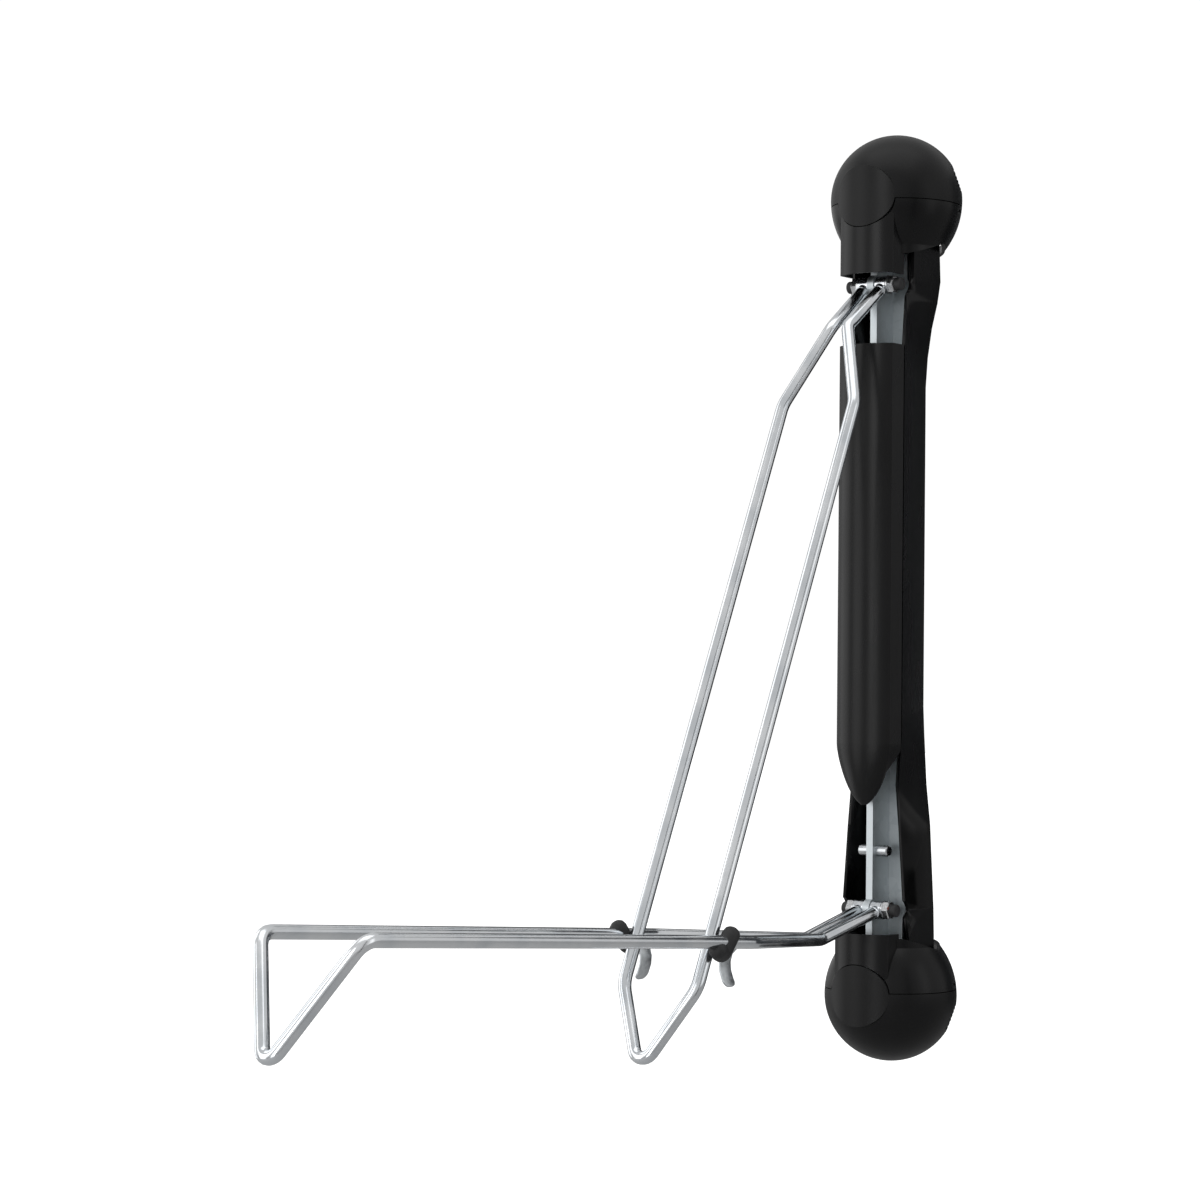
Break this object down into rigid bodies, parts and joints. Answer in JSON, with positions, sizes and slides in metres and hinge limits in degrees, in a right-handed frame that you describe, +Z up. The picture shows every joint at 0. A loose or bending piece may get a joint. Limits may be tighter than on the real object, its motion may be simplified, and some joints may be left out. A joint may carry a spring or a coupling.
{
  "type": "bicycle wall rack",
  "caption": "Vertical wall rack for a bicycle's front wheel: two round wall brackets carry a swivelling covered spine with a hooked wheel arm above and a folding rail loop below.",
  "frame": {"origin": "on the wall plane at the back of the lower wall plate, level with the lower bracket's centre", "axes": "+Y into the wall, the rack stands out along -Y, +X to its right seen from in front, +Z up"},
  "size_m": [0.107, 0.7682, 0.753],
  "materials": {
    "zinc_plate": "satin",
    "pin_steel": "satin",
    "black_plastic": "satin gloss",
    "black_screw": "satin",
    "bush_plastic": "matte",
    "spine_steel": "galvanised satin",
    "bolt_zinc": "zinc plated",
    "black_rubber": "matte",
    "bright_rod": "bright zinc",
    "eye_steel": "zinc plated",
    "catch_steel": "galvanised satin"
  },
  "bodies": {
    "wall_mount": {"upper_wall_plate": "zinc_plate", "lower_wall_plate": "zinc_plate", "upper_pivot_pin": "pin_steel", "lower_pivot_pin": "pin_steel", "upper_housing": "black_plastic", "lower_housing": "black_plastic", "upper_cap": "black_plastic", "lower_cap": "black_plastic", "housing_screws": "black_screw"},
    "swivel_frame": {"upper_bush": "bush_plastic", "lower_bush": "bush_plastic", "upper_lug": "spine_steel", "lower_lug": "spine_steel", "spine_right": "spine_steel", "spine_left": "spine_steel", "back_channel": "black_plastic", "front_cover": "black_plastic", "cover_screws": "black_screw", "channel_screws": "black_screw", "stop_pin": "pin_steel", "upper_hinge_bolt": "bolt_zinc", "upper_hinge_nut": "bolt_zinc", "upper_hinge_washers": "bolt_zinc", "upper_end_caps": "black_rubber", "lower_hinge_bolt": "bolt_zinc", "lower_hinge_nut": "bolt_zinc", "lower_hinge_washers": "bolt_zinc", "lower_end_caps": "black_rubber"},
    "upper_arm": {"upper_arm_loop": "bright_rod", "upper_arm_eyes": "eye_steel"},
    "lower_arm": {"lower_arm_loop": "bright_rod", "lower_arm_eyes": "eye_steel", "left_catch": "catch_steel", "right_catch": "catch_steel", "left_bumper": "black_rubber", "right_bumper": "black_rubber"}
  },
  "joints": [
    {"name": "swivel", "type": "hinge", "parent": "wall_mount", "child": "swivel_frame", "pos_m": [0, -0.0365, 0.323], "axis": [0, 0, 1], "range_deg": [-80, 80]},
    {"name": "upper_arm_lift", "type": "hinge", "parent": "swivel_frame", "child": "upper_arm", "pos_m": [0, -0.0676, 0.5734], "axis": [-1, 0, 0], "range_deg": [0, 38]},
    {"name": "lower_arm_fold", "type": "hinge", "parent": "swivel_frame", "child": "lower_arm", "pos_m": [0, -0.0676, 0.0704], "axis": [-1, 0, 0], "range_deg": [0, 80]}
  ]
}
